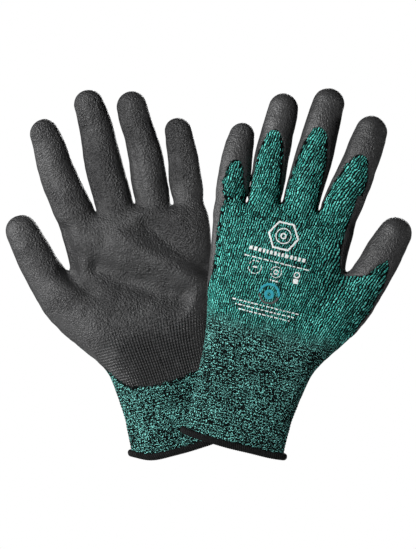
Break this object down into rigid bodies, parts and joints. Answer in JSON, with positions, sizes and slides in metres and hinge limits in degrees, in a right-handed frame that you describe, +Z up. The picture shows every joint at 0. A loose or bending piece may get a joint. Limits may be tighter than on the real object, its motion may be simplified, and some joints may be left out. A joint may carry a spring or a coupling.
{
  "type": "cut resistant work glove pair",
  "caption": "Two worn-shape left-hand work gloves with crossed cuffs: knitted cut resistant shells, dipped palms and fingertips, knitted wrists.",
  "frame": {"origin": "centre of the rear glove's wrist opening", "axes": "+X towards the front glove's side, -Y the side the pair is seen from (palm of the rear glove, back of the front glove), +Z up to the fingertips"},
  "size_m": [0.286, 0.0682, 0.2603],
  "materials": {
    "knit_shell": "teal and black marled seamless knit, matte",
    "pu_coating": "dipped polyurethane, fine leathery grain, dull sheen",
    "hem_thread": "overlock thread, matte",
    "elastic_yarn": "laid-in elastic yarn, matte",
    "print_ink": "thin heat-transfer film"
  },
  "bodies": {
    "rear_cuff": {"rear_hem_binding": "hem_thread", "rear_cuff_knit": "knit_shell", "rear_wrist_knit": "knit_shell", "rear_cuff_elastic": "elastic_yarn"},
    "rear_hand": {"rear_hand_knit": "knit_shell", "rear_palm_coating": "pu_coating", "rear_back_print": "print_ink"},
    "rear_index_base": {"rear_index_base_knit": "knit_shell", "rear_index_base_coating": "pu_coating"},
    "rear_index_middle": {"rear_index_middle_knit": "knit_shell", "rear_index_middle_coating": "pu_coating"},
    "rear_index_tip": {"rear_index_tip": "pu_coating"},
    "rear_middle_base": {"rear_middle_base_knit": "knit_shell", "rear_middle_base_coating": "pu_coating"},
    "rear_middle_middle": {"rear_middle_middle_knit": "knit_shell", "rear_middle_middle_coating": "pu_coating"},
    "rear_middle_tip": {"rear_middle_tip": "pu_coating"},
    "rear_ring_base": {"rear_ring_base_knit": "knit_shell", "rear_ring_base_coating": "pu_coating"},
    "rear_ring_middle": {"rear_ring_middle_knit": "knit_shell", "rear_ring_middle_coating": "pu_coating"},
    "rear_ring_tip": {"rear_ring_tip": "pu_coating"},
    "rear_little_base": {"rear_little_base_knit": "knit_shell", "rear_little_base_coating": "pu_coating"},
    "rear_little_middle": {"rear_little_middle_knit": "knit_shell", "rear_little_middle_coating": "pu_coating"},
    "rear_little_tip": {"rear_little_tip": "pu_coating"},
    "rear_thumb_base": {"rear_thumb_base_knit": "knit_shell", "rear_thumb_base_coating": "pu_coating"},
    "rear_thumb_tip": {"rear_thumb_tip": "pu_coating"},
    "front_cuff": {"front_hem_binding": "hem_thread", "front_cuff_knit": "knit_shell", "front_wrist_knit": "knit_shell", "front_cuff_elastic": "elastic_yarn"},
    "front_hand": {"front_hand_knit": "knit_shell", "front_palm_coating": "pu_coating", "front_back_print": "print_ink"},
    "front_index_base": {"front_index_base_knit": "knit_shell", "front_index_base_coating": "pu_coating"},
    "front_index_middle": {"front_index_middle_knit": "knit_shell", "front_index_middle_coating": "pu_coating"},
    "front_index_tip": {"front_index_tip": "pu_coating"},
    "front_middle_base": {"front_middle_base_knit": "knit_shell", "front_middle_base_coating": "pu_coating"},
    "front_middle_middle": {"front_middle_middle_knit": "knit_shell", "front_middle_middle_coating": "pu_coating"},
    "front_middle_tip": {"front_middle_tip": "pu_coating"},
    "front_ring_base": {"front_ring_base_knit": "knit_shell", "front_ring_base_coating": "pu_coating"},
    "front_ring_middle": {"front_ring_middle_knit": "knit_shell", "front_ring_middle_coating": "pu_coating"},
    "front_ring_tip": {"front_ring_tip": "pu_coating"},
    "front_little_base": {"front_little_base_knit": "knit_shell", "front_little_base_coating": "pu_coating"},
    "front_little_middle": {"front_little_middle_knit": "knit_shell", "front_little_middle_coating": "pu_coating"},
    "front_little_tip": {"front_little_tip": "pu_coating"},
    "front_thumb_base": {"front_thumb_base_knit": "knit_shell", "front_thumb_base_coating": "pu_coating"},
    "front_thumb_tip": {"front_thumb_tip": "pu_coating"}
  },
  "joints": [
    {"name": "rear_wrist_flex", "type": "hinge", "parent": "rear_cuff", "child": "rear_hand", "pos_m": [-0.00628, 0, 0.03347], "axis": [-0.9703, 0, -0.2419], "range_deg": [-5, 45], "stiffness_Nm_per_rad": 1.2, "deforming": ["rear_wrist_knit"]},
    {"name": "rear_index_knuckle", "type": "hinge", "parent": "rear_hand", "child": "rear_index_base", "pos_m": [-0.07387, -0.00672, 0.16812], "axis": [0.9336, 0, 0.3584], "range_deg": [0, 75], "stiffness_Nm_per_rad": 0.05},
    {"name": "rear_index_middle_joint", "type": "hinge", "parent": "rear_index_base", "child": "rear_index_middle", "pos_m": [-0.08232, -0.00718, 0.19015], "axis": [0.9336, 0, 0.3584], "range_deg": [0, 90], "stiffness_Nm_per_rad": 0.05},
    {"name": "rear_index_tip_joint", "type": "hinge", "parent": "rear_index_middle", "child": "rear_index_tip", "pos_m": [-0.08973, -0.00881, 0.20946], "axis": [0.9336, 0, 0.3584], "range_deg": [0, 60], "stiffness_Nm_per_rad": 0.05},
    {"name": "rear_middle_knuckle", "type": "hinge", "parent": "rear_hand", "child": "rear_middle_base", "pos_m": [-0.04728, -0.00688, 0.17475], "axis": [0.9641, 0, 0.2656], "range_deg": [0, 75], "stiffness_Nm_per_rad": 0.05},
    {"name": "rear_middle_middle_joint", "type": "hinge", "parent": "rear_middle_base", "child": "rear_middle_middle", "pos_m": [-0.05436, -0.00726, 0.20044], "axis": [0.9641, 0, 0.2656], "range_deg": [0, 90], "stiffness_Nm_per_rad": 0.05},
    {"name": "rear_middle_tip_joint", "type": "hinge", "parent": "rear_middle_middle", "child": "rear_middle_tip", "pos_m": [-0.06092, -0.0089, 0.22426], "axis": [0.9641, 0, 0.2656], "range_deg": [0, 60], "stiffness_Nm_per_rad": 0.05},
    {"name": "rear_ring_knuckle", "type": "hinge", "parent": "rear_hand", "child": "rear_ring_base", "pos_m": [-0.02084, -0.00608, 0.18031], "axis": [0.9767, 0, 0.2147], "range_deg": [0, 75], "stiffness_Nm_per_rad": 0.05},
    {"name": "rear_ring_middle_joint", "type": "hinge", "parent": "rear_ring_base", "child": "rear_ring_middle", "pos_m": [-0.02592, -0.00655, 0.20341], "axis": [0.9767, 0, 0.2147], "range_deg": [0, 90], "stiffness_Nm_per_rad": 0.05},
    {"name": "rear_ring_tip_joint", "type": "hinge", "parent": "rear_ring_middle", "child": "rear_ring_tip", "pos_m": [-0.03037, -0.00816, 0.22364], "axis": [0.9767, 0, 0.2147], "range_deg": [0, 60], "stiffness_Nm_per_rad": 0.05},
    {"name": "rear_little_knuckle", "type": "hinge", "parent": "rear_hand", "child": "rear_little_base", "pos_m": [0.00245, -0.00512, 0.18406], "axis": [0.9816, 0, 0.1908], "range_deg": [0, 75], "stiffness_Nm_per_rad": 0.05},
    {"name": "rear_little_middle_joint", "type": "hinge", "parent": "rear_little_base", "child": "rear_little_middle", "pos_m": [-0.00052, -0.00555, 0.19929], "axis": [0.9816, 0, 0.1908], "range_deg": [0, 90], "stiffness_Nm_per_rad": 0.05},
    {"name": "rear_little_tip_joint", "type": "hinge", "parent": "rear_little_middle", "child": "rear_little_tip", "pos_m": [-0.00303, -0.00715, 0.21221], "axis": [0.9816, 0, 0.1908], "range_deg": [0, 60], "stiffness_Nm_per_rad": 0.05},
    {"name": "rear_thumb_knuckle", "type": "hinge", "parent": "rear_hand", "child": "rear_thumb_base", "pos_m": [-0.0924, -0.0084, 0.11764], "axis": [0.848, 0, 0.5299], "range_deg": [0, 55], "stiffness_Nm_per_rad": 0.05},
    {"name": "rear_thumb_tip_joint", "type": "hinge", "parent": "rear_thumb_base", "child": "rear_thumb_tip", "pos_m": [-0.10406, -0.0076, 0.1363], "axis": [0.848, 0, 0.5299], "range_deg": [0, 75], "stiffness_Nm_per_rad": 0.05},
    {"name": "front_glove_apart", "type": "slide", "parent": "rear_cuff", "child": "front_cuff", "axis": [0, -1, 0], "range_m": [0, 0.12]},
    {"name": "front_wrist_flex", "type": "hinge", "parent": "front_cuff", "child": "front_hand", "pos_m": [0.04628, -0.036, 0.03347], "axis": [0.9703, 0, -0.2419], "range_deg": [-5, 45], "stiffness_Nm_per_rad": 1.2, "deforming": ["front_wrist_knit"]},
    {"name": "front_index_knuckle", "type": "hinge", "parent": "front_hand", "child": "front_index_base", "pos_m": [0.11387, -0.02928, 0.16812], "axis": [-0.9336, 0, 0.3584], "range_deg": [0, 75], "stiffness_Nm_per_rad": 0.05},
    {"name": "front_index_middle_joint", "type": "hinge", "parent": "front_index_base", "child": "front_index_middle", "pos_m": [0.12232, -0.02882, 0.19015], "axis": [-0.9336, 0, 0.3584], "range_deg": [0, 90], "stiffness_Nm_per_rad": 0.05},
    {"name": "front_index_tip_joint", "type": "hinge", "parent": "front_index_middle", "child": "front_index_tip", "pos_m": [0.12973, -0.02719, 0.20946], "axis": [-0.9336, 0, 0.3584], "range_deg": [0, 60], "stiffness_Nm_per_rad": 0.05},
    {"name": "front_middle_knuckle", "type": "hinge", "parent": "front_hand", "child": "front_middle_base", "pos_m": [0.08728, -0.02912, 0.17475], "axis": [-0.9641, 0, 0.2656], "range_deg": [0, 75], "stiffness_Nm_per_rad": 0.05},
    {"name": "front_middle_middle_joint", "type": "hinge", "parent": "front_middle_base", "child": "front_middle_middle", "pos_m": [0.09436, -0.02874, 0.20044], "axis": [-0.9641, 0, 0.2656], "range_deg": [0, 90], "stiffness_Nm_per_rad": 0.05},
    {"name": "front_middle_tip_joint", "type": "hinge", "parent": "front_middle_middle", "child": "front_middle_tip", "pos_m": [0.10092, -0.0271, 0.22426], "axis": [-0.9641, 0, 0.2656], "range_deg": [0, 60], "stiffness_Nm_per_rad": 0.05},
    {"name": "front_ring_knuckle", "type": "hinge", "parent": "front_hand", "child": "front_ring_base", "pos_m": [0.06084, -0.02992, 0.18031], "axis": [-0.9767, 0, 0.2147], "range_deg": [0, 75], "stiffness_Nm_per_rad": 0.05},
    {"name": "front_ring_middle_joint", "type": "hinge", "parent": "front_ring_base", "child": "front_ring_middle", "pos_m": [0.06592, -0.02945, 0.20341], "axis": [-0.9767, 0, 0.2147], "range_deg": [0, 90], "stiffness_Nm_per_rad": 0.05},
    {"name": "front_ring_tip_joint", "type": "hinge", "parent": "front_ring_middle", "child": "front_ring_tip", "pos_m": [0.07037, -0.02784, 0.22364], "axis": [-0.9767, 0, 0.2147], "range_deg": [0, 60], "stiffness_Nm_per_rad": 0.05},
    {"name": "front_little_knuckle", "type": "hinge", "parent": "front_hand", "child": "front_little_base", "pos_m": [0.03755, -0.03088, 0.18406], "axis": [-0.9816, 0, 0.1908], "range_deg": [0, 75], "stiffness_Nm_per_rad": 0.05},
    {"name": "front_little_middle_joint", "type": "hinge", "parent": "front_little_base", "child": "front_little_middle", "pos_m": [0.04052, -0.03045, 0.19929], "axis": [-0.9816, 0, 0.1908], "range_deg": [0, 90], "stiffness_Nm_per_rad": 0.05},
    {"name": "front_little_tip_joint", "type": "hinge", "parent": "front_little_middle", "child": "front_little_tip", "pos_m": [0.04303, -0.02885, 0.21221], "axis": [-0.9816, 0, 0.1908], "range_deg": [0, 60], "stiffness_Nm_per_rad": 0.05},
    {"name": "front_thumb_knuckle", "type": "hinge", "parent": "front_hand", "child": "front_thumb_base", "pos_m": [0.1324, -0.0276, 0.11764], "axis": [-0.848, 0, 0.5299], "range_deg": [0, 55], "stiffness_Nm_per_rad": 0.05},
    {"name": "front_thumb_tip_joint", "type": "hinge", "parent": "front_thumb_base", "child": "front_thumb_tip", "pos_m": [0.14406, -0.0284, 0.1363], "axis": [-0.848, 0, 0.5299], "range_deg": [0, 75], "stiffness_Nm_per_rad": 0.05}
  ],
  "couplings": [
    {"joint": "rear_index_tip_joint", "follows": "rear_index_middle_joint", "ratio": 0.66667},
    {"joint": "rear_middle_tip_joint", "follows": "rear_middle_middle_joint", "ratio": 0.66667},
    {"joint": "rear_ring_tip_joint", "follows": "rear_ring_middle_joint", "ratio": 0.66667},
    {"joint": "rear_little_tip_joint", "follows": "rear_little_middle_joint", "ratio": 0.66667},
    {"joint": "front_index_tip_joint", "follows": "front_index_middle_joint", "ratio": 0.66667},
    {"joint": "front_middle_tip_joint", "follows": "front_middle_middle_joint", "ratio": 0.66667},
    {"joint": "front_ring_tip_joint", "follows": "front_ring_middle_joint", "ratio": 0.66667},
    {"joint": "front_little_tip_joint", "follows": "front_little_middle_joint", "ratio": 0.66667}
  ]
}
